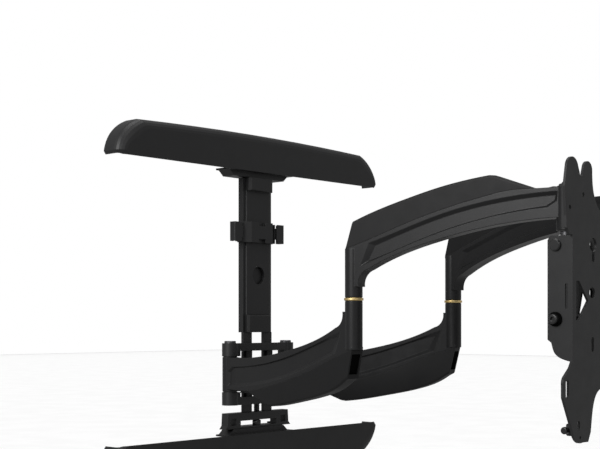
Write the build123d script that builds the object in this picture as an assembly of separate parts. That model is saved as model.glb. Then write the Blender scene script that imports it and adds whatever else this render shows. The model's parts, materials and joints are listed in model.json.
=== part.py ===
from build123d import *
import math
import os

# Full motion wall mount for a flat screen.
# Frame: X to the right when facing the wall, +Z up, the wall is the plane Y = 0 and the
# screen hangs on the -Y side.  The origin is on the wall, at the centre of the lag slots.
# All sizes are millimetres.

# --- driving dimensions ---------------------------------------------------------------
STUD_SPACING = 406.4        # wall studs, centre to centre
LAG_ROW = 392.0             # upper to lower lag slots
LAG_SLOT_R = 4.0
LAG_SLOT_LENGTH = 44.0

LINK_LENGTH = 247.0         # between the two pivots of each arm link
PIVOT_X = 53.0              # half the spacing of the wall and screen pivots
WALL_PIVOT_Y = -19.0
FOLD_REST = 10.6            # angle of each wall link from straight out
ELBOW_X = PIVOT_X + LINK_LENGTH * math.sin(math.radians(FOLD_REST))
ELBOW_Y = WALL_PIVOT_Y - LINK_LENGTH * math.cos(math.radians(FOLD_REST))
SCREEN_PIVOT_Y = 2 * ELBOW_Y - WALL_PIVOT_Y

COVER_HALF = 245.0          # half width at the wide edge of a rail cover
COVER_TOP_HALF = 210.5
COVER_LOW = 171.5            # lower edge of the upper cover
COVER_HIGH = 217.0
COVER_DEPTH = 29.4
COVER_ROUND = 11.0           # radius between the front of a cover and its ends
SHELL = 2.2

RAIL_LOW = 179.0
RAIL_HIGH = 213.0
RAIL_HALF = 228.0
RAIL_FACE = 2.5
RAIL_DEPTH = 9.0
RAIL_GAP = 44.0              # half the gap in the folded edge beside the column

CHANNEL_HALF = 27.0          # the steel channel of the column
CHANNEL_FRONT = 16.5
CHANNEL_BACK = 8.5
COLUMN_HALF = 22.5           # the plastic cover of the column
COLUMN_FRONT = 26.0
SHAFT_FRONT = 19.0
COLUMN_TOP = 166.0
STEP_HEIGHT = 147.0
COLUMN_COVER_LOW = -16.0
BLOCK_LOW = -39.0
KNOCKOUT_Z = 36.0
KNOCKOUT_R = 11.5
SPINE_TAB = 14.0
TRACK_IN = 11.0              # the twin tracks that the carriage slides on
TRACK_FRONT = 17.5
TRACK_BACK = 13.5
TRACK_LOW = -144.0
SCREW_Y = -15.5
SCREW_R = 4.0

CARRIAGE_HIGH = -53.0
CARRIAGE_LOW = -133.0
CARRIAGE_BACK = -18.0
CARRIAGE_FRONT = -27.0
LUG_R = 10.5

PIN_R = 5.0
BUSH_R = 7.0
RUNNING = 0.05              # radial clearance of a pin in its bush
POST_R = 10.0
# crests of the fairings, as distance along the link and height above the washer
SCREEN_CREST = [(3, 87.3), (29, 97.2), (70, 109.7), (109, 119.8), (148, 126.8), (166, 129)]
WALL_CREST = [(2, 90), (14, 97), (47, 110), (96, 120.5), (137, 127.6), (150, 129)]
LINK_T = 17.0
PANEL_DEPTH = 2.6            # of the sunk panels in the sides of the links
MOUTH_DEPTH = 3.0           # of the plugged opening in the elbow end of a fairing
WALL_BOSS = (71.0, 115.0)   # distances from the washer plane
SCREEN_BOSS = (68.0, 112.5)
POST_GAP = 1.6
POST_TOP = 57.0
WASHER_T = 3.0
WASHER_R = 11.0
INNER_DROP = 10.0           # a wall link's inner edge ends this much lower

SCREEN_PIN_R = 4.5
OPEN_CLEARANCE = 0.3        # the right screen pivot closes the loop of the two arms
BEAM = (22.0, 54.0)
BEAM_BACK = 7.6             # behind and in front of the screen pivots
BEAM_FRONT = 11.0
BEAM_HALF = 73.0
TILT_PLATE_T = 3.0

PLATE_Y = -546.0            # middle of the screen plate
PLATE_T = 2.5
FLANGE_X = 117.0
FLANGE_BACK = -520.0
TILT_Y = -529.0
TILT_Z = 49.0
TENSION_Z = -23.0
TILT_DOWN = 10.0
TILT_UP = 5.0
HOOK_X = 100.0
HOLE_GRID = 50.0            # 100 x 100 bolt holes for small screens
LATCH_X = 84.0              # inner end of the latch
LATCH_Y = -536.0
LATCH_Z = -131.0


# --- helpers --------------------------------------------------------------------------
def box(x0, x1, y0, y1, z0, z1):
    """A block between two corners."""
    middle = ((x0 + x1) / 2, (y0 + y1) / 2, (z0 + z1) / 2)
    return Pos(*middle) * Box(abs(x1 - x0), abs(y1 - y0), abs(z1 - z0))


def upright(x, y, z0, z1, r):
    """A cylinder along Z."""
    return Pos(x, y, (z0 + z1) / 2) * Cylinder(r, abs(z1 - z0))


def crosswise(x0, x1, y, z, r):
    """A cylinder along X."""
    return Pos((x0 + x1) / 2, y, z) * Rot(0, 90, 0) * Cylinder(r, abs(x1 - x0))


def lengthwise(x, y0, y1, z, r):
    """A cylinder along Y."""
    return Pos(x, (y0 + y1) / 2, z) * Rot(90, 0, 0) * Cylinder(r, abs(y1 - y0))


def slot_through(x, z, y0, y1, length, r, turn=0):
    """A round-ended slot cut along Y, lying along X unless it is turned."""
    shape = Plane.XZ * (Pos(x, z) * Rot(0, 0, turn) * SlotOverall(length, 2 * r))
    return Pos(0, y0, 0) * extrude(shape, amount=y0 - y1)


def slab(outline, y0, y1):
    """An outline in X and Z, extruded from y0 out to y1 (y1 is further from the wall)."""
    return Pos(0, y0, 0) * extrude(Plane.XZ * outline, amount=y0 - y1)


def mirrored(shape):
    """The same shape on the other side of the mount."""
    return mirror(shape, about=Plane.YZ)


def upside_down(shape):
    return mirror(shape, about=Plane.XY)


def bodies(shapes):
    """Separate solids kept together as one group."""
    return Compound(children=[solid for shape in shapes for solid in shape.solids()])


def save(name, shape):
    """Write one sub-part."""
    solids = shape.solids()
    whole = solids[0] if len(solids) == 1 else Compound(children=list(solids))
    whole.label = name
    export_step(whole, f"parts/{name}.step")


# --- wall frame -----------------------------------------------------------------------
def cover_outline(inset, low):
    """Front view of the upper rail cover: bowed top edge and rounded, sloping ends."""
    high = COVER_HIGH - inset
    wide = COVER_HALF - inset
    narrow = COVER_TOP_HALF - inset
    rim = low + 5
    edges = [
        ThreePointArc((-narrow, high), (0, high + 4), (narrow, high)),
        Spline((narrow, high), (wide - 12, high - 15), (wide, rim), tangents=[(1, -0.4), (0.15, -1)]),
        Line((wide, rim), (wide - 4, low)),
        Line((wide - 4, low), (-wide + 4, low)),
        Line((-wide + 4, low), (-wide, rim)),
        Spline((-wide, rim), (-wide + 12, high - 15), (-narrow, high), tangents=[(0.15, 1), (1, 0.4)]),
    ]
    return make_face(edges)


def cover_body(inset, low):
    """Solid form of a cover, its front edge rounded in short steps at the ends and above."""
    depth = COVER_DEPTH - inset
    radius = COVER_ROUND - inset
    steps = 5
    sections = []
    for step in range(steps + 1):
        angle = math.radians(90 * step / steps)
        face = Plane.XZ * cover_outline(inset + radius * (1 - math.cos(angle)), low)
        sections.append(Pos(0, -depth + radius * (1 - math.sin(angle)), 0) * face)
    body = slab(cover_outline(inset, low), 1 if inset > 0 else 0, -depth + radius)
    for behind, ahead in zip(sections, sections[1:]):
        body += loft([behind, ahead], ruled=True)
    return body


def rail_cover(passage_half, passage_depth):
    """Plastic shell over a wall rail: open below, with a collar where the column comes out."""
    shell = cover_body(0, COVER_LOW) - cover_body(SHELL, COVER_LOW - 8)
    shell += box(-60, 60, 0, -COVER_DEPTH + SHELL, COVER_LOW, COVER_LOW + SHELL)
    collar = Polyline((-56, COVER_LOW + 1), (-47, COVER_LOW - 7), (47, COVER_LOW - 7),
                      (56, COVER_LOW + 1), close=True)
    shell += slab(make_face(collar), 0, -20.7)
    return shell - box(-passage_half, passage_half, 1, -passage_depth, COVER_LOW - 12, COVER_LOW + 5)


def wall_rail():
    """Pressed steel rail with two slotted lag holes and folded upper and lower edges."""
    rail = box(-RAIL_HALF, RAIL_HALF, 0, -RAIL_FACE, RAIL_LOW, RAIL_HIGH)
    rail += box(-COVER_TOP_HALF + 6, COVER_TOP_HALF - 6, 0, -RAIL_DEPTH, RAIL_HIGH - RAIL_FACE, RAIL_HIGH)
    rail += box(-RAIL_HALF, -RAIL_GAP, 0, -RAIL_DEPTH, RAIL_LOW, RAIL_LOW + RAIL_FACE)
    rail += box(RAIL_GAP, RAIL_HALF, 0, -RAIL_DEPTH, RAIL_LOW, RAIL_LOW + RAIL_FACE)
    corner = Polyline((RAIL_HALF + 1, RAIL_HIGH + 1), (RAIL_HALF - 24, RAIL_HIGH + 1),
                      (RAIL_HALF + 1, RAIL_HIGH - 26), close=True)
    rail -= slab(make_face(corner), 1, -20)
    rail -= mirrored(slab(make_face(corner), 1, -20))
    for x in (-STUD_SPACING / 2, STUD_SPACING / 2):
        rail -= slot_through(x, LAG_ROW / 2, 1, -RAIL_DEPTH, LAG_SLOT_LENGTH, LAG_SLOT_R)
    for x in (-150, -112, 112, 150):
        rail -= slot_through(x, LAG_ROW / 2, 1, -RAIL_DEPTH, 22, 3)
    return rail


def screw_places():
    """Where the spine is screwed to the upper rail and the yoke to the lower rail."""
    return [(-8, 200), (8, 200), (-30, -186), (30, -186)]


def column_spine():
    """Steel channel hung from the upper rail, whose front goes on down as the twin tracks."""
    top = COLUMN_TOP - 2.5
    spine = box(-CHANNEL_HALF, CHANNEL_HALF, -CHANNEL_BACK, -CHANNEL_FRONT, BLOCK_LOW, top)
    spine -= box(-CHANNEL_HALF + 3, CHANNEL_HALF - 3, 0, -CHANNEL_FRONT + 3, BLOCK_LOW - 1, top - 3)
    spine += box(-SPINE_TAB, SPINE_TAB, -RAIL_FACE, -CHANNEL_BACK, top - 3, top)
    spine += box(-SPINE_TAB, SPINE_TAB, -RAIL_FACE, -5.5, top, 206)
    for side in (-1, 1):
        spine += box(side * TRACK_IN, side * CHANNEL_HALF, -TRACK_BACK, -TRACK_FRONT, TRACK_LOW, BLOCK_LOW)
    for x, z in screw_places()[:2]:
        spine -= lengthwise(x, 0, -8, z, 3)
    return spine - lengthwise(0, 0, -CHANNEL_FRONT - 1, KNOCKOUT_Z, KNOCKOUT_R + 0.1)


def column_cover():
    """Plastic cover of the column: a flat shaft with a cable hole and a deeper top."""
    shaft = box(-COLUMN_HALF, COLUMN_HALF, -CHANNEL_FRONT, -SHAFT_FRONT, COLUMN_COVER_LOW, STEP_HEIGHT)
    shaft = fillet(shaft.edges().filter_by(Axis.Z).group_by(Axis.Y)[0], 2)
    top = box(-COLUMN_HALF, COLUMN_HALF, -CHANNEL_FRONT, -COLUMN_FRONT, STEP_HEIGHT, COLUMN_TOP - 2)
    top = chamfer(top.edges().filter_by(Axis.Z).group_by(Axis.Y)[0], 3)
    top = fillet(top.edges().filter_by(Axis.X).group_by(Axis.Y)[0].group_by(Axis.Z)[0], 2)
    top -= box(-COLUMN_HALF + 2, COLUMN_HALF - 2, 0, -COLUMN_FRONT + 2, STEP_HEIGHT + 2, COLUMN_TOP - 4)
    return shaft + top - lengthwise(0, 0, -40, KNOCKOUT_Z, KNOCKOUT_R)


def knockout_plug():
    """Round plug that closes the cable hole from behind."""
    plug = lengthwise(0, -10, -14.5, KNOCKOUT_Z, KNOCKOUT_R)
    return chamfer(plug.edges().group_by(Axis.Y)[0], 0.8)


def column_block():
    """Deeper foot of the column cover, above the carriage."""
    foot = box(-COLUMN_HALF, COLUMN_HALF, -CHANNEL_FRONT, -23, BLOCK_LOW, COLUMN_COVER_LOW)
    foot = chamfer(foot.edges().filter_by(Axis.Z).group_by(Axis.Y)[0], 2.5)
    foot = fillet(foot.edges().filter_by(Axis.X).group_by(Axis.Y)[0].group_by(Axis.Z)[-1], 2)
    foot -= box(-COLUMN_HALF + 2, COLUMN_HALF - 2, 0, -21, BLOCK_LOW - 1, COLUMN_COVER_LOW - 2)
    return foot + box(-TRACK_IN, TRACK_IN, -CHANNEL_FRONT, -18.5, BLOCK_LOW, COLUMN_COVER_LOW)


def cable_clip():
    """Snap-on cable holder round the column, with a hollow ear at each side."""
    low, high = 79.0, 106.0
    plan = Polyline((-31, -10), (-31, -16), (-20, -26), (20, -26), (31, -16), (31, -10), close=True)
    band = Pos(0, 0, low) * extrude(make_face(plan), amount=high - low)
    band -= box(-CHANNEL_HALF - 0.1, CHANNEL_HALF + 0.1, 1, -CHANNEL_FRONT - 0.1, low - 1, high + 1)
    band -= box(-COLUMN_HALF - 0.1, COLUMN_HALF + 0.1, 1, -SHAFT_FRONT - 0.1, low - 1, high + 1)
    for z in (low - 1, high - 5):
        band -= box(-6.5, 6.5, -22, -27, z, z + 6)
    for side in (-1, 1):
        ear = box(side * 29, side * 47, -12, -22, low + 1, high - 1)
        ear = fillet(ear.edges().filter_by(Axis.Z).group_by(Axis.X)[0 if side < 0 else -1], 1.5)
        ear -= box(side * 28, side * 32, -20, -30, low - 1, high + 1)
        ear -= box(side * 33, side * 45, -14, -20, low - 1, high + 1)
        ear -= box(side * 37, side * 41, -11, -15, low - 1, high + 1)
        for z in (low - 1, high - 6):
            ear -= box(side * 31.2, side * 34, -10, -30, z, z + 7)
        band += ear
    return band


def lower_yoke():
    """Gate-shaped bracket under the carriage, where the height screw turns."""
    back, front = -8.0, -19.7
    gate = Polyline((-62, -164.3), (-58, -160), (-57, TRACK_LOW), (57, TRACK_LOW), (58, -160),
                    (62, -164.3), close=True)
    yoke = slab(make_face(gate), back, front)
    for side in (-1, 1):
        yoke -= box(side * 42, side * 52, 0, -30, -160, -151)
    yoke += box(-40, 40, -RAIL_FACE, -5.5, -195, -160)
    yoke += box(-40, 40, -RAIL_FACE, back - 1, -164.3, -162)
    yoke -= box(-34, 34, 0, -30, -162, -154.5)
    yoke -= upright(0, SCREW_Y, -156, -140, SCREW_R - 1 + RUNNING)
    for x, z in screw_places()[2:]:
        yoke -= lengthwise(x, 0, -9, z, 3)
    return yoke


def frame_screws():
    """Hex screws that hold the spine and the yoke to the rails."""
    screws = []
    for x, z in screw_places():
        head = Pos(x, -5.5, z) * extrude(Plane.XZ * RegularPolygon(5.2, 6), amount=3)
        screws.append(head + lengthwise(x, -RAIL_FACE, -6, z, 3))
    return bodies(screws)


def height_screw():
    """Screw that carries the carriage: a knurled head below the yoke and a plain shank."""
    neck = upright(0, SCREW_Y, -156, -143.5, SCREW_R - 1)
    shank = upright(0, SCREW_Y, -143.5, -90, SCREW_R)
    head = upright(0, SCREW_Y, -162, -155, 5.7)
    head = chamfer(head.edges(), 0.8)
    flutes = 12
    for turn in range(flutes):
        at = Rot(0, 0, turn * 360 / flutes) * Pos(5.9, 0, -158.5)
        head -= Pos(0, SCREW_Y, 0) * at * Cylinder(0.6, 8)
    return head + neck + shank


# --- carriage -------------------------------------------------------------------------
def arm_carriage():
    """Frame that slides on the tracks: two cross bars, four lugs and a threaded block."""
    back, front = CARRIAGE_BACK, CARRIAGE_FRONT
    frame = box(-9, 9, -9.5, front, -112, -98)
    frame += box(-33, 33, back, -25, -118, -80)
    for z in (CARRIAGE_LOW, CARRIAGE_HIGH - 10):
        frame += box(-46, 46, back, front, z, z + 10)
    for side in (-1, 1):
        frame += box(side * 15, side * 24, back, -22, CARRIAGE_LOW, CARRIAGE_HIGH)
        frame += box(side * 29.5, side * 33, -10, -25, -116, -80)
        lug = upright(side * PIVOT_X, WALL_PIVOT_Y, CARRIAGE_LOW, CARRIAGE_HIGH, LUG_R)
        lug += box(side * 42, side * PIVOT_X, WALL_PIVOT_Y + 4, front, CARRIAGE_LOW, CARRIAGE_HIGH)
        lug -= box(side * 34, side * 70, 5, -40, -WALL_BOSS[1] - 1.2, -WALL_BOSS[0] + 1.2)
        frame += lug
        frame -= upright(side * PIVOT_X, WALL_PIVOT_Y, -140, -40, PIN_R)
    return frame - upright(0, SCREW_Y, -150, -70, SCREW_R + RUNNING)


def carriage_glides():
    """Plastic pads between the carriage and the outer flanks of the tracks."""
    pads = []
    for side in (-1, 1):
        for z in (-90, -114):
            pads.append(box(side * (CHANNEL_HALF + 0.1), side * 29.5, -12, -CHANNEL_FRONT, z, z + 8))
    return bodies(pads)


def wall_pivot_pins():
    """Headed pins through the carriage lugs."""
    pins = []
    for side in (-1, 1):
        pin = upright(side * PIVOT_X, WALL_PIVOT_Y, CARRIAGE_LOW, CARRIAGE_HIGH, PIN_R)
        head = upright(side * PIVOT_X, WALL_PIVOT_Y, CARRIAGE_HIGH, CARRIAGE_HIGH + 3, 7.5)
        pins.append(pin + chamfer(head.edges().group_by(Axis.Z)[-1], 0.8))
    return bodies(pins)


# --- arm links, made lying along X from the elbow at the origin, above the washer plane -
def inner_edge(drop):
    """Lower edge of a screen link, from the corner at the post to the pivot boss."""
    points = [(22, 33), (60, 49.5), (107, 63), (160, 73.8), (210, 79.6), (LINK_LENGTH, 81)]
    return [(s, z - drop * s / LINK_LENGTH) for s, z in points]


def ridge():
    """Line where the fairing meets the link."""
    return [(-6, 57), (22, 65.5), (70, 82.5), (117, 96.5), (167, 108), (205, 112), (LINK_LENGTH, 112)]


def link_profile(drop):
    low = inner_edge(drop)
    high = ridge()
    foot = (10, 14)
    edges = [
        ThreePointArc(foot, (12.6, 26), low[0]),
        Spline(*low),
        Line(low[-1], high[-1]),
        Line(high[-1], high[-2]),
        Spline(*high[:-1], tangents=[(1, 0.25), (1, 0)]),
        Line(high[0], (-6, 54)),
        Line((-6, 54), (0, 50)),
        Line((0, 50), (0, foot[1])),
        Line((0, foot[1]), foot),
    ]
    return make_face(edges)


def recess_face(low, high, corner):
    """Outline of a sunk panel with slanted ends; corner is its lower end at the pivot."""
    edges = [
        Spline(*low),
        Line(low[-1], corner),
        Line(corner, high[-1]),
        Spline(*high),
        Line(high[0], low[0]),
    ]
    return make_face(edges)


def sunk_panel(drop):
    """Sunk panel in one side of a link: steep below, wide and slanted above and at the elbow."""
    low = [(12, 36), (50, 50.5), (90, 64.5), (129, 76), (174, 85.5), (230, 91.7)]
    high = [(23, 62), (66, 76), (110, 90), (160, 101), (200, 106), (241, 108)]
    low = [(s, z - drop * s / LINK_LENGTH) for s, z in low]
    floor_low = [(22, 43)] + [(s, z + 1.5) for s, z in low[1:-1]] + [(low[-1][0] - 2, low[-1][1] + 2)]
    floor_high = [(31, 59.5)] + [(s, z - 4) for s, z in high[1:-1]] + [(high[-1][0] - 3, high[-1][1] - 4)]
    mouth = recess_face(low, high, (240, low[-1][1] + 6))
    floor = recess_face(floor_low, floor_high, (237, low[-1][1] + 7.5))
    mouth = Pos(0, -LINK_T / 2, 0) * (Plane.XZ * mouth)
    floor = Pos(0, -LINK_T / 2 + PANEL_DEPTH, 0) * (Plane.XZ * floor)
    return loft([mouth, floor], ruled=True)


def fairing_profile(crest, inset):
    """Smooth outer cover of a link, deepest two thirds of the way to the pivot."""
    base = ridge()[:-1]
    line = [(crest[0][0] + inset, crest[0][1] - inset)]
    line += [(s, z - inset) for s, z in crest[1:]]
    knee = (crest[-1][0] + 7, crest[-1][1] - 0.8 - inset)
    tail = (knee[0] + 44 - 2 * inset, base[-1][1] + 0.05)
    edges = [
        Spline(*base, tangents=[(1, 0.25), (1, 0)]),
        Line(base[-1], tail),
        Line(tail, knee),
        Line(knee, line[-1]),
        Spline(*line, tangents=[(1, 0.42), (1, 0.1)]),
        Line(line[0], base[0]),
    ]
    return make_face(edges)


def across(profile, width):
    """A profile in X and Z, given a width along Y about the middle plane."""
    return extrude(Plane.XZ * profile, amount=width / 2, both=True)


def post_corner():
    """What is cut from the foot of a link, so that its flat sides grow out of the round post."""
    low, high = 11.5, 34
    block = box(-20, 24, -12, 12, low, high)
    taper = Pos(0, 0, (low + high) / 2) * Cone(POST_R, POST_R + 1.05 * (high - low), high - low)
    return block - taper


def arm_link(drop, boss, elbow_bore, pivot_bore):
    """Cast link: post, curved beam with a sunk panel on each side, and pivot boss."""
    beam = across(link_profile(drop), LINK_T)
    panel = sunk_panel(drop)
    beam -= panel
    beam -= mirror(panel, Plane.XZ)
    beam -= post_corner()
    post = upright(0, 0, POST_GAP, POST_TOP, POST_R)
    beam += chamfer(post.edges().group_by(Axis.Z)[0], 0.8)
    beam += upright(LINK_LENGTH, 0, boss[0], boss[1], POST_R)
    beam -= box(LINK_LENGTH, LINK_LENGTH + 30, -12, 12, 60, 130) - upright(LINK_LENGTH, 0, 50, 140, POST_R)
    beam -= upright(0, 0, 0, POST_TOP - 4, elbow_bore)
    beam -= upright(LINK_LENGTH, 0, 50, 140, pivot_bore)
    return beam


def link_fairing(crest):
    """Hollow plastic cover along the outer edge of a link, which hides the cables."""
    skin = across(fairing_profile(crest, 0), LINK_T)
    rim = [edge for edge in skin.edges().filter_by(Axis.Y, reverse=True)
           if edge.position_at(0.5).Z > 112.5]
    skin = fillet(rim, 2.5)
    hollow = across(fairing_profile(crest, 2.6), LINK_T - 6)
    hollow -= box(-20, 24, -12, 12, 40, 120)
    hollow -= box(crest[-1][0] + 32, 240, -12, 12, 90, 140)
    return skin - hollow - end_mouth(-20, MOUTH_DEPTH)


def end_mouth(start, depth):
    """A slanted block in the elbow end of a fairing, measured in from its end face."""
    low, high = 62.0, 85.0
    lean = 9 / 30
    at_low = -6 + (low - 57) * lean
    at_high = -6 + (high - 57) * lean
    mouth = Polyline((at_low + start, low), (at_low + depth, low), (at_high + depth, high),
                     (at_high + start, high), close=True)
    return across(make_face(mouth), LINK_T - 4)


def end_plug():
    """Black plug that closes the mouth of a fairing, set a little below its rim."""
    return end_mouth(MOUTH_DEPTH - 1.8, MOUTH_DEPTH)


def elbow_washer():
    ring = upright(0, 0, -WASHER_T / 2, WASHER_T / 2, WASHER_R)
    ring = chamfer(ring.edges(), 0.5)
    return ring - upright(0, 0, -5, 5, PIN_R + RUNNING)


def elbow_pin():
    pin = upright(0, 0, -POST_TOP + 4, POST_TOP - 6, PIN_R)
    return chamfer(pin.edges(), 0.6)


def flanged_bush(z0, z1, flange_z, bore):
    """Bush with a thrust flange at one end."""
    bush = upright(0, 0, z0, z1, BUSH_R)
    bush += upright(0, 0, z0, flange_z, 9)
    return bush - upright(0, 0, min(z1, flange_z) - 1, max(z1, flange_z) + 1, bore)


def pivot_bushes(boss, bore):
    """A flanged bush in each end of a pivot boss."""
    lower = flanged_bush(boss[0], boss[0] + 14, boss[0] - 1, bore)
    upper = flanged_bush(boss[1], boss[1] - 14, boss[1] + 1, bore)
    return bodies([lower, upper])


def elbow_bushes():
    """Two plain bushes in the screen link's post."""
    bore = PIN_R + RUNNING
    low = upright(0, 0, POST_GAP, 20, BUSH_R) - upright(0, 0, 0, 30, bore)
    high = upright(0, 0, 34, POST_TOP - 4, BUSH_R) - upright(0, 0, 30, POST_TOP, bore)
    return bodies([low, high])


def place_link(shape, side, toward_wall):
    """Move a link piece to its elbow; side is -1 for the left arm and 1 for the right."""
    lean = 90 - FOLD_REST
    angle = lean if side < 0 else 180 - lean
    if not toward_wall:
        angle = -angle
    return Pos(side * ELBOW_X, ELBOW_Y, 0) * Rot(0, 0, angle) * shape


# --- crosshead ------------------------------------------------------------------------
def crosshead_beam():
    """Box beam between the two screen pivots."""
    back = SCREEN_PIVOT_Y + BEAM_BACK
    front = SCREEN_PIVOT_Y - BEAM_FRONT
    beam = box(-BEAM_HALF, BEAM_HALF, back, front, BEAM[0], BEAM[1])
    beam = fillet(beam.edges().filter_by(Axis.X), 3)
    beam -= box(-38, 38, back - 3, front + 3, BEAM[0] - 1, BEAM[1] - 3)
    for side in (-1, 1):
        beam -= upright(side * PIVOT_X, SCREEN_PIVOT_Y, 0, 70, SCREEN_PIN_R)
        for z in (30, 46):
            beam -= crosswise(side * (BEAM_HALF - 10), side * (BEAM_HALF + 5), SCREEN_PIVOT_Y, z, 2.5)
    return beam


def arc_slot(x0, x1, radius, half_width):
    """Slot of the tension bolt, curved about the tilt pivot."""
    reach = [math.radians(270 - angle) for angle in (-TILT_UP - 1, (TILT_DOWN - TILT_UP) / 2, TILT_DOWN + 1)]
    path = []
    for angle in reach:
        path.append((TILT_Y - radius * math.cos(angle), TILT_Z + radius * math.sin(angle)))
    middle = ThreePointArc(*path)
    shape = Plane.YZ * make_face(SlotArc(middle, 2 * half_width).wire())
    return Pos(x0, 0, 0) * extrude(shape, amount=x1 - x0)


def tilt_plate():
    """Right-hand side plate of the crosshead, with the pivot hole and the tilt slot."""
    back = SCREEN_PIVOT_Y + BEAM_BACK
    inside, outside = BEAM_HALF - 5, BEAM_HALF + 10
    side = Polyline((back, 58), (back, 18), (-508, -10), (-508, -34), (-528, -34), (-537, 18), (-537, 58),
                    close=True)
    plate = Pos(BEAM_HALF, 0, 0) * extrude(Plane.YZ * make_face(side), amount=TILT_PLATE_T)
    plate -= crosswise(inside, outside, TILT_Y, TILT_Z, 4.0 + RUNNING)
    plate -= arc_slot(inside, outside, TILT_Z - TENSION_Z, 3.4)
    for z in (30, 46):
        plate -= crosswise(inside, outside, SCREEN_PIVOT_Y, z, 2.5)
    return plate


def crosshead_screws():
    """Socket screws that hold the side plates to the beam."""
    screws = []
    for side in (-1, 1):
        for z in (30, 46):
            shank = crosswise(side * (BEAM_HALF - 10), side * (BEAM_HALF + TILT_PLATE_T), SCREEN_PIVOT_Y, z,
                              2.5)
            outer = side * (BEAM_HALF + TILT_PLATE_T)
            head = crosswise(outer, outer + side * 4, SCREEN_PIVOT_Y, z, 4.5)
            head -= crosswise(outer + side * 2, outer + side * 5, SCREEN_PIVOT_Y, z, 2.1)
            screws.append(shank + head)
    return bodies(screws)


def screen_pivot_pins():
    """Pins that stand on the beam and carry the screen ends of the arms."""
    pins = []
    for side in (-1, 1):
        x, y = side * PIVOT_X, SCREEN_PIVOT_Y
        pin = upright(x, y, BEAM[0], SCREEN_BOSS[1] + 3, SCREEN_PIN_R)
        pin += upright(x, y, BEAM[1], SCREEN_BOSS[0] - 1.2, 6)
        cap = upright(x, y, SCREEN_BOSS[1] + 1.2, SCREEN_BOSS[1] + 3, 7.5)
        pins.append(pin + chamfer(cap.edges().group_by(Axis.Z)[-1], 0.6))
    return bodies(pins)


# --- screen head ----------------------------------------------------------------------
def plate_outline():
    """Left half of the screen plate, seen from the front."""
    edges = [
        Line((0, 84), (-58, 84)),
        Spline((-58, 84), (-70, 92), (-78, 124), tangents=[(-1, 0.1), (0, 1)]),
        ThreePointArc((-78, 124), (-86, 131.5), (-95, 125)),
        Line((-95, 125), (-HOOK_X + 3, 119)),
        ThreePointArc((-HOOK_X + 3, 119), (-HOOK_X, 116), (-HOOK_X - 3, 119)),
        Line((-HOOK_X - 3, 119), (-106, 125)),
        ThreePointArc((-106, 125), (-117, 133), (-128, 123)),
        Line((-128, 123), (-132, 104)),
        Line((-132, 104), (-128, 66)),
        Line((-128, 66), (-123, 58)),
        Line((-123, 58), (-FLANGE_X, 58)),
        Line((-FLANGE_X, 58), (-FLANGE_X, -63)),
        Line((-FLANGE_X, -63), (-122, -70)),
        Line((-122, -70), (-131, -77)),
        ThreePointArc((-131, -77), (-134.5, -81), (-135, -86)),
        Line((-135, -86), (-135, -98)),
        Line((-135, -98), (-117, -131)),
        ThreePointArc((-117, -131), (-110, -141), (-98, -143)),
        Line((-98, -143), (-86, -143)),
        Line((-86, -143), (-81, -134)),
        Spline((-81, -134), (-74, -104), (-58, -92), tangents=[(0.2, 1), (1, 0.1)]),
        Line((-58, -92), (0, -92)),
        Line((0, -92), (0, 84)),
    ]
    return make_face(edges)


def plate_cuts():
    """Holes in the left half of the screen plate."""
    back, front = PLATE_Y + 10, PLATE_Y - 10
    cuts = [
        lengthwise(-76, back, front, 50, 7),
        slot_through(-76, 41, back, front, 17, 2.7, 90),
        lengthwise(-78, back, front, 3, 5.5),
        slot_through(-77, -48, back, front, 15, 2.6, 90),
        slot_through(-105, -126, back, front, 9, 2.6, 90),
        lengthwise(-102, back, front, -138, 1.6),
        slot_through(-127, -90, back, front, 18, 2.8, 90),
        lengthwise(-HOLE_GRID, back, front, HOLE_GRID, 2.6),
        lengthwise(-HOLE_GRID, back, front, -HOLE_GRID, 2.6),
        lengthwise(-122, back, front, 84, 2.2),
        lengthwise(-96, back, front, 98, 2.2),
    ]
    arrow = Polyline((-110, 14), (-104, 14), (-86, -5), (-104, -24), (-110, -24), close=True)
    cuts.append(slab(make_face(arrow), back, front))
    window = Polyline((0, 34), (-30, 34), (-40, 22), (-40, -28), (-30, -40), (0, -40), close=True)
    cuts.append(slab(make_face(window), back, front))
    return cuts


def flange():
    """Side return of the plate on the right, which carries the tilt pivot."""
    plate_back = PLATE_Y + PLATE_T / 2
    side = [
        Line((plate_back, 58), (FLANGE_BACK - 3, 58)),
        Line((FLANGE_BACK - 3, 58), (FLANGE_BACK, 54)),
        Line((FLANGE_BACK, 54), (FLANGE_BACK, -43)),
        Line((FLANGE_BACK, -43), (FLANGE_BACK - 4, -46)),
        Spline((FLANGE_BACK - 4, -46), (FLANGE_BACK - 7, -55), (plate_back, -64),
               tangents=[(-0.3, -1), (-1, -0.2)]),
        Line((plate_back, -64), (plate_back, 58)),
    ]
    shape = Pos(FLANGE_X - PLATE_T, 0, 0) * extrude(Plane.YZ * make_face(side), amount=PLATE_T)
    shape -= crosswise(110, 120, TILT_Y, TILT_Z, 4.0)
    shape -= crosswise(110, 120, TILT_Y, TENSION_Z, 3.0 + RUNNING)
    shape -= box(110, 120, PLATE_Y + 4, PLATE_Y + 7, -13, 11)
    return shape


def stiffener():
    """Returned edge beside the right upper leg, and the rib along the middle of the plate."""
    back = PLATE_Y + PLATE_T / 2
    edge = box(126.5, 129, back - PLATE_T, back + 3, 64, 108)
    edge = fillet(edge.edges().filter_by(Axis.X).group_by(Axis.Y)[-1], 2.5)
    return edge + box(60, 63, back, back + 8, -84, 76)


def screen_plate():
    """The H-shaped plate that the screen hooks on to, with its two side flanges."""
    half = slab(plate_outline(), PLATE_Y + PLATE_T / 2, PLATE_Y - PLATE_T / 2)
    for cut in plate_cuts():
        half -= cut
    whole = half + mirrored(half)
    for shape in (flange(), stiffener()):
        whole += shape
        whole += mirrored(shape)
    return whole


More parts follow.
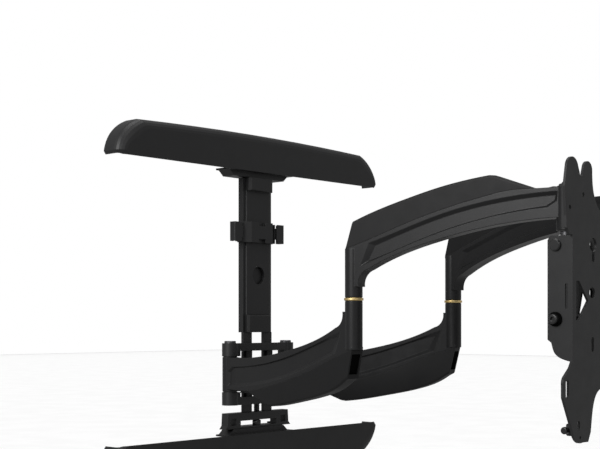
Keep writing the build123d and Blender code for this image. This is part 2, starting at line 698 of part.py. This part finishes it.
def tilt_bolts():
    """Shoulder bolts of the tilt pivot, each with a low round head outside its flange."""
    bolts = []
    for side in (-1, 1):
        shank = crosswise(side * (BEAM_HALF - 5), side * FLANGE_X, TILT_Y, TILT_Z, 4)
        head = crosswise(side * FLANGE_X, side * (FLANGE_X + 3), TILT_Y, TILT_Z, 6)
        collar = crosswise(side * (BEAM_HALF + TILT_PLATE_T + 0.4), side * (FLANGE_X - PLATE_T), TILT_Y,
                           TILT_Z, 6)
        cap = crosswise(side * (BEAM_HALF - 5), side * (BEAM_HALF - 0.4), TILT_Y, TILT_Z, 6.5)
        cut_edges = head.edges().group_by(Axis.X)[0 if side < 0 else -1]
        bolts.append(chamfer(cut_edges, 1) + shank + collar + cap)
    return bodies(bolts)


def tension_bolt():
    """Right-hand bolt that sets how stiffly the head tilts."""
    shank = crosswise(BEAM_HALF - 5, FLANGE_X + 1, TILT_Y, TENSION_Z, 3)
    head = crosswise(FLANGE_X + 2.4, FLANGE_X + 7, TILT_Y, TENSION_Z, 5)
    head = fillet(head.edges().group_by(Axis.X)[-1], 1.5)
    head -= crosswise(FLANGE_X + 5, FLANGE_X + 8, TILT_Y, TENSION_Z, 2.2)
    nut = crosswise(BEAM_HALF - 5, BEAM_HALF - 0.4, TILT_Y, TENSION_Z, 6)
    return shank + head + crosswise(FLANGE_X, FLANGE_X + 3, TILT_Y, TENSION_Z, 3) + nut


def tension_washer():
    """Dark friction ring under the head of a tension bolt."""
    ring = crosswise(FLANGE_X, FLANGE_X + 2.4, TILT_Y, TENSION_Z, 7)
    return ring - crosswise(110, 130, TILT_Y, TENSION_Z, 3)


def tension_spacer():
    """Tube between the flange and the tilt plate."""
    tube = crosswise(BEAM_HALF + TILT_PLATE_T + 0.4, FLANGE_X - PLATE_T, TILT_Y, TENSION_Z, 5.5)
    return tube - crosswise(BEAM_HALF, FLANGE_X, TILT_Y, TENSION_Z, 3 + RUNNING)


def latch_housing():
    """Small block behind the right lower leg, in which the latch plunger slides."""
    back = PLATE_Y + PLATE_T / 2
    block = box(LATCH_X, LATCH_X + 18, back, back + 13, LATCH_Z - 6, LATCH_Z + 6)
    block = fillet(block.edges().filter_by(Axis.X).group_by(Axis.Y)[-1], 2)
    block -= crosswise(LATCH_X + 3, LATCH_X + 15, LATCH_Y, LATCH_Z, 4.2)
    block -= crosswise(LATCH_X - 6, LATCH_X + 24, LATCH_Y, LATCH_Z, 2 + RUNNING)
    return block


def latch_plunger():
    """Right-hand plunger: nose, collar that the spring pushes on, stem and pull knob."""
    stem = crosswise(LATCH_X - 5, LATCH_X + 25, LATCH_Y, LATCH_Z, 2)
    collar = crosswise(LATCH_X + 3.2, LATCH_X + 5.2, LATCH_Y, LATCH_Z, 3.9)
    knob = crosswise(LATCH_X + 23.4, LATCH_X + 30.4, LATCH_Y, LATCH_Z, 3.6)
    knob = fillet(knob.edges(), 1.2)
    return stem + collar + knob


def latch_spring():
    """Coil spring between the collar and the outer wall of the housing, as a plain sleeve."""
    sleeve = crosswise(LATCH_X + 5.3, LATCH_X + 14.9, LATCH_Y, LATCH_Z, 3.4)
    return sleeve - crosswise(LATCH_X, LATCH_X + 18, LATCH_Y, LATCH_Z, 2.6)


# --- write every sub-part ---------------------------------------------------------------
def write_wall_frame():
    save("upper_wall_rail", wall_rail())
    save("lower_wall_rail", upside_down(wall_rail()))
    save("upper_cover", rail_cover(SPINE_TAB + 1, CHANNEL_BACK))
    save("lower_cover", upside_down(rail_cover(41, 9.5)))
    save("column_spine", column_spine())
    save("column_cover", column_cover())
    save("column_block", column_block())
    save("knockout_plug", knockout_plug())
    save("cable_clip", cable_clip())
    save("lower_yoke", lower_yoke())
    save("frame_screws", frame_screws())
    save("height_screw", height_screw())


def write_carriage():
    save("arm_carriage", arm_carriage())
    save("carriage_glides", carriage_glides())
    save("wall_pivot_pins", wall_pivot_pins())


def write_arms():
    wall_link = upside_down(arm_link(INNER_DROP, WALL_BOSS, PIN_R, BUSH_R))
    screen_link = arm_link(0, SCREEN_BOSS, BUSH_R, BUSH_R)
    wall_bushes = upside_down(pivot_bushes(WALL_BOSS, PIN_R + RUNNING))
    for name, side in (("left", -1), ("right", 1)):
        slack = RUNNING if side < 0 else OPEN_CLEARANCE
        screen_bushes = pivot_bushes(SCREEN_BOSS, SCREEN_PIN_R + slack)
        to_wall = {
            "wall_link": wall_link,
            "wall_fairing": upside_down(link_fairing(WALL_CREST)),
            "wall_end_plug": upside_down(end_plug()),
            "elbow_washer": elbow_washer(),
            "elbow_pin": elbow_pin(),
        }
        to_screen = {
            "screen_link": screen_link,
            "screen_fairing": link_fairing(SCREEN_CREST),
            "screen_end_plug": end_plug(),
            "elbow_bushes": elbow_bushes(),
        }
        for piece, shape in to_wall.items():
            save(f"{name}_{piece}", place_link(shape, side, True))
        for piece, shape in to_screen.items():
            save(f"{name}_{piece}", place_link(shape, side, False))
        save(f"{name}_wall_bushes", place_link(Pos(LINK_LENGTH, 0, 0) * wall_bushes, side, True))
        save(f"{name}_screen_bushes", place_link(Pos(LINK_LENGTH, 0, 0) * screen_bushes, side, False))


def write_head():
    save("crosshead_beam", crosshead_beam())
    save("crosshead_screws", crosshead_screws())
    save("screen_pivot_pins", screen_pivot_pins())
    save("screen_plate", screen_plate())
    save("tilt_bolts", tilt_bolts())
    pairs = {
        "tilt_plate": tilt_plate(),
        "tension_bolt": tension_bolt(),
        "tension_washer": tension_washer(),
        "tension_spacer": tension_spacer(),
        "latch_housing": latch_housing(),
        "latch_plunger": latch_plunger(),
        "latch_spring": latch_spring(),
    }
    for piece, shape in pairs.items():
        save(f"right_{piece}", shape)
        save(f"left_{piece}", mirrored(shape))


os.makedirs("parts", exist_ok=True)
write_wall_frame()
write_carriage()
write_arms()
write_head()
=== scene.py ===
import json
import math

import bpy
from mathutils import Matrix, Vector


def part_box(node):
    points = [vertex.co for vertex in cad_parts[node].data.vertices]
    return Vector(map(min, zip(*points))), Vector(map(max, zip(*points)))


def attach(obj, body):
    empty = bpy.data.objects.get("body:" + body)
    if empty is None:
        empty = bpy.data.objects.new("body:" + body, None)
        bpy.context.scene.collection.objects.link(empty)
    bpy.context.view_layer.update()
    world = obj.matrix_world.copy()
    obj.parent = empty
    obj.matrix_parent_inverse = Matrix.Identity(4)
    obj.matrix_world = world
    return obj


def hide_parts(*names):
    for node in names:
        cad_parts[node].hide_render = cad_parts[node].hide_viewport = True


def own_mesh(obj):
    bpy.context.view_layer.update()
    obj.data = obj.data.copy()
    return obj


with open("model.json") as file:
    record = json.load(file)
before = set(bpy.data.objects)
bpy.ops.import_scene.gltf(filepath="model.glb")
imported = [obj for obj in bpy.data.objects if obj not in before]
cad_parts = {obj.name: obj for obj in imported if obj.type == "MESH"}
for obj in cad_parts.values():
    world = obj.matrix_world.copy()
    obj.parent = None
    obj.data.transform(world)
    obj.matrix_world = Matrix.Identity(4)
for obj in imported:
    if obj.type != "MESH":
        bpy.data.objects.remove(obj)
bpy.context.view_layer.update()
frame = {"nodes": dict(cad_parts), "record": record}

MM = 0.001

IMAGE_WIDTH = 600
FOCAL_PIXELS = 1200
HORIZON_BELOW_CENTRE = 98.5     # pixels
CAMERA_PLACE = (-1.150, -1.118, -0.0268)
VIEW_ANGLE = 41.72              # degrees between the camera's line of sight and the wall, in plan

FLOOR_SIZE = 80
FLOOR_HEIGHT = -1.3
FLOOR_LIGHT_HEIGHT = -0.8
FLOOR_LIGHT = 2.1               # watts per square metre of floor
SURROUNDINGS = 0.36             # how brightly the white surroundings light the object
OBJECT_MIDDLE = (0, -0.27, 0)

GRAIN_HEIGHT = 0.1 * MM
RING_HEIGHT = 0.05 * MM

SHANK_RADIUS = 4 * MM
THREAD_PITCH = 2 * MM
THREAD_DEPTH = 0.7 * MM
THREAD_SIDES = 48
ROWS_PER_TURN = 12
KNURL_SHARE = 0.05              # depth of the knurl as a share of the head's radius
WIRE_RADIUS = 0.4 * MM
COIL_TURNS = 5


# --- node helpers -----------------------------------------------------------------------
class Shader:
    """A new material with its node tree, and short calls that add and link nodes."""

    def __init__(self, name):
        self.material = bpy.data.materials.new(name)
        self.material.use_nodes = True
        self.tree = self.material.node_tree
        self.surface = self.tree.nodes["Principled BSDF"]
        self.place = self.add("ShaderNodeTexCoord").outputs["Object"]

    def add(self, kind, **settings):
        node = self.tree.nodes.new(kind)
        for name, value in settings.items():
            setattr(node, name, value)
        return node

    def link(self, source, target):
        self.tree.links.new(source, target)

    def noise(self, scale, detail=4.0, roughness=0.55, stretch=(1, 1, 1)):
        """Noise in the object's own metres; scale is in cells per metre."""
        node = self.add("ShaderNodeTexNoise")
        node.inputs["Scale"].default_value = scale
        node.inputs["Detail"].default_value = detail
        node.inputs["Roughness"].default_value = roughness
        if stretch == (1, 1, 1):
            self.link(self.place, node.inputs["Vector"])
        else:
            mapping = self.add("ShaderNodeMapping")
            mapping.inputs["Scale"].default_value = stretch
            self.link(self.place, mapping.inputs["Vector"])
            self.link(mapping.outputs["Vector"], node.inputs["Vector"])
        return node.outputs["Fac"]

    def grain(self, scale):
        """Small round cells, for the texture of powder coat and moulded plastic."""
        node = self.add("ShaderNodeTexVoronoi", feature="SMOOTH_F1")
        node.inputs["Scale"].default_value = scale
        self.link(self.place, node.inputs["Vector"])
        return node.outputs["Distance"]

    def ramp(self, source, low, high, start, end):
        """Maps a range of the source to two colours or two numbers."""
        if isinstance(low, tuple):
            node = self.add("ShaderNodeValToRGB")
            node.color_ramp.elements[0].position = start
            node.color_ramp.elements[1].position = end
            node.color_ramp.elements[0].color = (*low, 1)
            node.color_ramp.elements[1].color = (*high, 1)
            self.link(source, node.inputs["Fac"])
            return node.outputs["Color"]
        node = self.add("ShaderNodeMapRange")
        node.inputs["From Min"].default_value = start
        node.inputs["From Max"].default_value = end
        node.inputs["To Min"].default_value = low
        node.inputs["To Max"].default_value = high
        self.link(source, node.inputs["Value"])
        return node.outputs["Result"]

    def mix(self, factor, first, second):
        """Mixes two colours; first is a socket, second a colour."""
        node = self.add("ShaderNodeMix", data_type="RGBA")
        self.link(factor, node.inputs["Factor"])
        self.link(first, node.inputs["A"])
        node.inputs["B"].default_value = (*second, 1)
        return node.outputs["Result"]

    def math(self, operation, first, second):
        node = self.add("ShaderNodeMath", operation=operation)
        for socket, value in zip(node.inputs, (first, second)):
            if isinstance(value, (int, float)):
                socket.default_value = value
            else:
                self.link(value, socket)
        return node.outputs["Value"]

    def edges(self, radius):
        """A mask of the part's outer edges, and the rounded normal there."""
        bevel = self.add("ShaderNodeBevel", samples=6)
        bevel.inputs["Radius"].default_value = radius
        flat = self.add("ShaderNodeNewGeometry").outputs["Normal"]
        dot = self.add("ShaderNodeVectorMath", operation="DOT_PRODUCT")
        self.link(bevel.outputs["Normal"], dot.inputs[0])
        self.link(flat, dot.inputs[1])
        return self.ramp(dot.outputs["Value"], 1.0, 0.0, 0.86, 0.99), bevel.outputs["Normal"]

    def bump(self, height, strength, distance, normal=None):
        node = self.add("ShaderNodeBump")
        node.inputs["Strength"].default_value = strength
        node.inputs["Distance"].default_value = distance
        self.link(height, node.inputs["Height"])
        if normal is not None:
            self.link(normal, node.inputs["Normal"])
        return node.outputs["Normal"]

    def finish(self, colour, roughness, normal, metallic=0.0, specular=0.5):
        self.link(colour, self.surface.inputs["Base Color"])
        self.link(roughness, self.surface.inputs["Roughness"])
        self.link(normal, self.surface.inputs["Normal"])
        self.surface.inputs["Metallic"].default_value = metallic
        self.surface.inputs["Specular IOR Level"].default_value = specular
        return self.material


def coated(name, dark, light, worn, gloss, cells, depth, edge=0.6 * MM, specular=0.4, wear=0.35):
    """A black coating: nearly even colour, fine grain, and edges that are rubbed a little lighter.

    cells is the grain's cells per metre, depth its strength, and edge the radius of the soft edges.
    """
    s = Shader(name)
    colour = s.ramp(s.noise(35, detail=8, roughness=0.7), dark, light, 0.25, 0.75)
    mask, rounded = s.edges(edge)
    rub = s.math("MULTIPLY", mask, s.ramp(s.noise(90, detail=5), 0.25, 1.0, 0.40, 0.62))
    colour = s.mix(s.math("MULTIPLY", rub, wear), colour, worn)
    rough = s.ramp(s.noise(60, detail=6, roughness=0.65), gloss - 0.03, gloss + 0.04, 0.35, 0.65)
    rough = s.math("SUBTRACT", rough, s.math("MULTIPLY", rub, 0.06))
    normal = s.bump(s.grain(cells), depth, GRAIN_HEIGHT, rounded)
    return s.finish(colour, rough, normal, specular=specular)


def turned_metal(name, dark, light, gloss):
    """Turned or drawn metal with fine rings and a little tarnish."""
    s = Shader(name)
    colour = s.ramp(s.noise(60, detail=5), dark, light, 0.3, 0.7)
    rings = s.noise(40, detail=3, stretch=(1, 1, 90))
    mask, rounded = s.edges(0.3 * MM)
    bright = tuple(min(1, 1.25 * value) for value in light)
    colour = s.mix(s.math("MULTIPLY", mask, 0.25), colour, bright)
    rough = s.ramp(rings, gloss - 0.07, gloss + 0.1, 0.3, 0.7)
    normal = s.bump(rings, 0.25, RING_HEIGHT, rounded)
    return s.finish(colour, rough, normal, metallic=1.0)


COATINGS = {
    "steel_black": dict(dark=(0.0115, 0.0115, 0.012), light=(0.0155, 0.0155, 0.016),
                        worn=(0.045, 0.045, 0.045), gloss=0.42, cells=1500, depth=0.25),
    "arm_metal": dict(dark=(0.0075, 0.0075, 0.008), light=(0.0098, 0.0098, 0.0102),
                      worn=(0.045, 0.045, 0.045), gloss=0.38, cells=1300, depth=0.22, edge=1.3 * MM,
                      specular=0.34),
    "arm_cover": dict(dark=(0.0055, 0.0055, 0.0058), light=(0.0072, 0.0072, 0.0076),
                      worn=(0.03, 0.03, 0.03), gloss=0.52, cells=1000, depth=0.28, edge=1.2 * MM,
                      specular=0.26),
    "cover_plastic": dict(dark=(0.0095, 0.0095, 0.010), light=(0.0125, 0.0125, 0.013),
                          worn=(0.035, 0.035, 0.035), gloss=0.46, cells=900, depth=0.30, edge=0.8 * MM),
    "rubber_black": dict(dark=(0.0006, 0.0006, 0.0006), light=(0.0011, 0.0011, 0.0011),
                         worn=(0.003, 0.003, 0.003), gloss=0.85, cells=1600, depth=0.25, edge=0.4 * MM,
                         specular=0.05),
    "fastener_black": dict(dark=(0.007, 0.007, 0.0072), light=(0.011, 0.011, 0.0112),
                           worn=(0.09, 0.088, 0.085), gloss=0.32, cells=2200, depth=0.15, edge=0.3 * MM,
                           specular=0.5, wear=0.5),
    "bush_nylon": dict(dark=(0.03, 0.03, 0.03), light=(0.04, 0.04, 0.04),
                       worn=(0.07, 0.07, 0.07), gloss=0.5, cells=1500, depth=0.2, edge=0.3 * MM),
}
BARE_METALS = {
    "brass": dict(dark=(0.74, 0.52, 0.20), light=(0.95, 0.74, 0.36), gloss=0.36),
    "pin_steel": dict(dark=(0.10, 0.10, 0.105), light=(0.16, 0.16, 0.165), gloss=0.34),
    "spring_steel": dict(dark=(0.35, 0.35, 0.36), light=(0.5, 0.5, 0.51), gloss=0.28),
}


def materials():
    """One material for each slot of the record, by the slot's name."""
    made = {slot: coated(slot, **look) for slot, look in COATINGS.items()}
    made.update({slot: turned_metal(slot, **look) for slot, look in BARE_METALS.items()})
    return made


def dress_nodes(finishes):
    """Gives every CAD node the finish of its slot."""
    slots = {part["node"]: part["material_slot"] for part in frame["record"]["subparts"]}
    for node, name in slots.items():
        piece = frame["nodes"][node]
        if not piece.data.materials:
            piece.data.materials.append(finishes[name])
        for slot in piece.material_slots:
            slot.material = finishes[name]


# --- pieces that replace plain CAD stand-ins --------------------------------------------
def new_piece(name, vertices, faces, body, slot, *nodes):
    """A smooth mesh piece that rides on a body and stands for CAD nodes."""
    mesh = bpy.data.meshes.new(name)
    mesh.from_pydata(vertices, [], faces)
    mesh.shade_smooth()
    mesh.materials.append(finishes[slot])
    piece = bpy.data.objects.new(name, mesh)
    bpy.context.scene.collection.objects.link(piece)
    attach(piece, body)
    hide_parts(*nodes)
    return piece


def tube_faces(steps, sides):
    """Faces of a tube made of steps + 1 rings of vertices, with its ends closed."""
    faces = []
    for i in range(steps):
        for j in range(sides):
            k = (j + 1) % sides
            faces.append((i * sides + j, i * sides + k, (i + 1) * sides + k, (i + 1) * sides + j))
    faces.append(tuple(range(sides))[::-1])
    faces.append(tuple(steps * sides + j for j in range(sides)))
    return faces


def wound_wire(start, end, axis_y, axis_z, radius):
    """Vertices and faces of a coil of round wire whose axis lies along X."""
    steps, sides = COIL_TURNS * 28, 8
    wire = WIRE_RADIUS
    vertices = []
    for i in range(steps + 1):
        t = i / steps
        turn = 2 * math.pi * COIL_TURNS * t
        middle_x = start + wire + (end - start - 2 * wire) * t
        for j in range(sides):
            angle = 2 * math.pi * j / sides
            out = radius + wire * math.cos(angle)
            y = axis_y + out * math.cos(turn)
            z = axis_z + out * math.sin(turn)
            vertices.append((middle_x + wire * math.sin(angle), y, z))
    return vertices, tube_faces(steps, sides)


def latch_springs():
    """Coils in place of the plain sleeves."""
    for side in ("left", "right"):
        node = side + "_latch_spring"
        low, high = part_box(node)
        middle_y, middle_z = (low[1] + high[1]) / 2, (low[2] + high[2]) / 2
        outer = (high[2] - low[2]) / 2
        vertices, faces = wound_wire(low[0], high[0], middle_y, middle_z, outer - WIRE_RADIUS)
        coil = new_piece(node + "_coil", vertices, faces, "head", "spring_steel", node)
        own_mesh(coil)


def ring(radius_at, axis_y, z):
    """A level ring of the screw's vertices; radius_at gives the radius at each step round it."""
    points = []
    for j in range(THREAD_SIDES):
        angle = 2 * math.pi * j / THREAD_SIDES
        radius = radius_at(j)
        points.append((radius * math.cos(angle), axis_y + radius * math.sin(angle), z))
    return points


def screw_head(bottom, radius, axis_y):
    """Knurled head and the plain neck above it, up to the root of the thread."""
    neck = 0.75 * SHANK_RADIUS
    root = SHANK_RADIUS - THREAD_DEPTH
    rows = [(0, 0.86 * radius, 0), (0.8, radius, KNURL_SHARE), (6.2, radius, KNURL_SHARE),
            (7, 0.86 * radius, 0), (7, neck, 0), (18, neck, 0), (18.5, root, 0)]
    rings = []
    for height, out, knurl in rows:
        rings.append(ring(lambda j: out * (1 - knurl * (j % 4 == 0)), axis_y, bottom + height * MM))
    return rings


def screw_thread(start, stop, axis_y):
    """Rings whose radius rises and falls once in each pitch, later and later round the screw."""
    count = int((stop - start) / THREAD_PITCH * ROWS_PER_TURN)
    rings = []
    for i in range(count + 1):
        z = start + (stop - start) * i / count

        def radius_at(j):
            phase = ((z - start) / THREAD_PITCH - j / THREAD_SIDES) % 1.0
            crest = 1 - abs(2 * phase - 1)
            return SHANK_RADIUS - THREAD_DEPTH * (1 - crest)

        rings.append(ring(radius_at, axis_y, z))
    return rings


def threaded_screw():
    """The height screw with its thread and a knurled head."""
    low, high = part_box("height_screw")
    axis_y = (low[1] + high[1]) / 2
    head_radius = (high[0] - low[0]) / 2 * 0.985
    tip_radius = SHANK_RADIUS - THREAD_DEPTH - 0.3 * MM
    rings = screw_head(low[2], head_radius, axis_y)
    rings += screw_thread(low[2] + 19 * MM, high[2] - 0.6 * MM, axis_y)
    rings.append(ring(lambda j: tip_radius, axis_y, high[2]))
    vertices = [point for level in rings for point in level]
    faces = tube_faces(len(rings) - 1, THREAD_SIDES)
    new_piece("height_screw_thread", vertices, faces, "height_screw", "fastener_black", "height_screw")


# --- studio -----------------------------------------------------------------------------
def camera():
    data = bpy.data.cameras.new("camera")
    data.sensor_fit = "HORIZONTAL"
    data.sensor_width = 36.0
    data.lens = data.sensor_width * FOCAL_PIXELS / IMAGE_WIDTH
    data.shift_y = HORIZON_BELOW_CENTRE / IMAGE_WIDTH
    data.clip_start = 0.05
    data.clip_end = 100
    eye = bpy.data.objects.new("camera", data)
    eye.location = CAMERA_PLACE
    eye.rotation_euler = (math.radians(90), 0, math.radians(VIEW_ANGLE - 90))
    bpy.context.scene.collection.objects.link(eye)
    bpy.context.scene.camera = eye


def area_light(name, place, target, size, power):
    data = bpy.data.lights.new(name, "AREA")
    data.shape = "RECTANGLE"
    data.size, data.size_y = size
    data.energy = power
    lamp = bpy.data.objects.new(name, data)
    lamp.location = place
    lamp.rotation_euler = (Vector(target) - Vector(place)).to_track_quat("-Z", "Y").to_euler()
    bpy.context.scene.collection.objects.link(lamp)


def surroundings():
    """White world that shows at full strength and lights the object dimly."""
    world = bpy.data.worlds.new("studio")
    world.use_nodes = True
    tree = world.node_tree
    seen = tree.nodes.new("ShaderNodeLightPath").outputs["Is Camera Ray"]
    strength = tree.nodes.new("ShaderNodeMapRange")
    strength.inputs["To Min"].default_value = SURROUNDINGS
    strength.inputs["To Max"].default_value = 1.0
    tree.links.new(seen, strength.inputs["Value"])
    background = tree.nodes["Background"]
    background.inputs["Color"].default_value = (1, 1, 1, 1)
    tree.links.new(strength.outputs["Result"], background.inputs["Strength"])
    bpy.context.scene.world = world


def pale_floor():
    """Floor with a light of its own, which throws no light back at the object."""
    bpy.ops.mesh.primitive_plane_add(size=FLOOR_SIZE, location=(0, 0, FLOOR_HEIGHT))
    floor = bpy.context.object
    floor.name = "floor"
    s = Shader("pale_floor")
    colour = s.ramp(s.noise(2), (0.93, 0.93, 0.93), (0.96, 0.96, 0.96), 0.4, 0.6)
    rough = s.ramp(s.noise(5), 0.8, 0.9, 0.4, 0.6)
    normal = s.bump(s.noise(30), 0.05, 1 * MM)
    floor.data.materials.append(s.finish(colour, rough, normal))
    floor.visible_diffuse = False
    floor.visible_glossy = False
    area_light("floor_wash", (0, 0, FLOOR_LIGHT_HEIGHT), (0, 0.001, FLOOR_HEIGHT), (FLOOR_SIZE, FLOOR_SIZE),
               FLOOR_LIGHT * FLOOR_SIZE ** 2)


def studio():
    """Pale floor, white surroundings and large soft lights, the strongest from the left."""
    surroundings()
    pale_floor()
    area_light("key", (-2.6, -0.35, 1.2), OBJECT_MIDDLE, (1.4, 1.4), 62)
    area_light("front", (-0.6, -2.6, 1.2), OBJECT_MIDDLE, (1.6, 1.2), 9)
    area_light("top", (0.1, -0.3, 2.4), OBJECT_MIDDLE, (1.8, 1.4), 20)
    bpy.context.scene.view_settings.view_transform = "Standard"


finishes = materials()
dress_nodes(finishes)
latch_springs()
threaded_screw()
camera()
studio()
